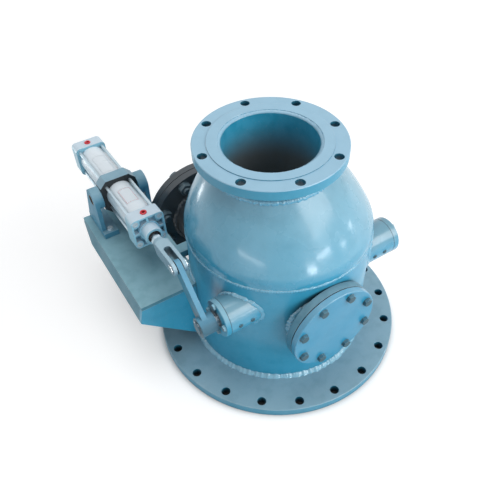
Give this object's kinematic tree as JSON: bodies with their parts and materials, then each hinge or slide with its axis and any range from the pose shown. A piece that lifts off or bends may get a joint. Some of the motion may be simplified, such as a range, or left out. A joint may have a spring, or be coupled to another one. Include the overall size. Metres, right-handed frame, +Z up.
{
  "type": "flap valve",
  "caption": "Flanged vessel-shaped valve body with a swinging flap below its inlet, worked by a lever and a trunnion-mounted air cylinder on one side.",
  "frame": {"origin": "centre of the base flange's bolt circle, on the flange's underside", "axes": "+Z up through the inlet flange, +X along the flap shaft from the lever side to the idle side, +Y toward the closed side outlet and the rear end of the cylinder"},
  "size_m": [0.677, 0.8404, 0.575],
  "materials": {
    "blue_paint": "gloss",
    "light_blue_paint": "gloss",
    "base_paint": "gloss",
    "weld_paint": "gloss",
    "dark_paint": "gloss",
    "grey_paint": "satin",
    "silver_paint": "satin",
    "turned_steel": "turned",
    "zinc_steel": "satin",
    "bronze": "machined",
    "gasket_rubber": "matt",
    "braided_packing": "matt",
    "red_plastic": "gloss"
  },
  "bodies": {
    "valve_body": {"base_flange": "base_paint", "body_shell_front": "blue_paint", "body_shell_back": "blue_paint", "dome_head": "blue_paint", "base_weld": "weld_paint", "seam_weld": "weld_paint", "inlet_pipe": "blue_paint", "inlet_flange": "light_blue_paint", "neck_weld": "weld_paint", "seat_ring": "turned_steel", "drive_bearing_housing": "blue_paint", "idle_bearing_housing": "blue_paint", "drive_bush": "bronze", "idle_bush": "bronze", "shaft_packing": "braided_packing", "gland_flange": "blue_paint", "gland_bolts": "zinc_steel", "idle_end_cover": "blue_paint", "idle_cover_screws": "zinc_steel", "housing_plugs": "zinc_steel", "inspection_nozzle": "blue_paint", "inspection_flange": "blue_paint", "inspection_gasket": "gasket_rubber", "inspection_cover": "light_blue_paint", "inspection_bolts": "light_blue_paint", "outlet_nozzle": "dark_paint", "outlet_flange": "dark_paint", "outlet_gasket": "gasket_rubber", "outlet_cover": "dark_paint", "outlet_bolts": "dark_paint", "bracket_plate": "blue_paint", "bracket_skirts": "blue_paint", "bracket_gussets": "blue_paint", "trunnion_supports": "dark_paint", "trunnion_bushes": "bronze", "support_bolts": "zinc_steel"},
    "flap": {"shaft": "turned_steel", "flap_arm": "dark_paint", "arm_pins": "turned_steel", "flap_disc": "turned_steel", "flap_seal": "gasket_rubber", "seal_clamp_ring": "turned_steel", "seal_screws": "zinc_steel", "disc_nut": "zinc_steel", "lever": "light_blue_paint", "lever_key": "turned_steel", "lever_pin": "turned_steel"},
    "cylinder": {"cylinder_barrel": "silver_paint", "front_end_cap": "silver_paint", "rear_end_cap": "silver_paint", "tie_rods": "zinc_steel", "tie_rod_nuts": "zinc_steel", "rod_bush": "bronze", "port_plugs": "red_plastic", "trunnion_block": "grey_paint"},
    "rod": {"fork": "light_blue_paint", "fork_pin_ends": "turned_steel", "rod_nut": "zinc_steel", "piston_rod": "turned_steel", "piston": "silver_paint"}
  },
  "joints": [
    {"name": "flap_swing", "type": "hinge", "parent": "valve_body", "child": "flap", "pos_m": [-0.017, -0.116, 0.268], "axis": [1, 0, 0], "range_deg": [0, 70]},
    {"name": "cylinder_tilt", "type": "hinge", "parent": "valve_body", "child": "cylinder", "pos_m": [-0.268, 0.31814, 0.3384], "axis": [1, 0, 0], "range_deg": [-2.81, 0]},
    {"name": "rod_extend", "type": "slide", "parent": "cylinder", "child": "rod", "axis": [0, -0.9977, 0.068], "range_m": [0, 0.1571]}
  ],
  "couplings": [
    {"joint": "cylinder_tilt", "follows": "flap_swing", "ratio": -0.04001},
    {"joint": "rod_extend", "follows": "flap_swing", "m_per_rad": 0.12856}
  ]
}
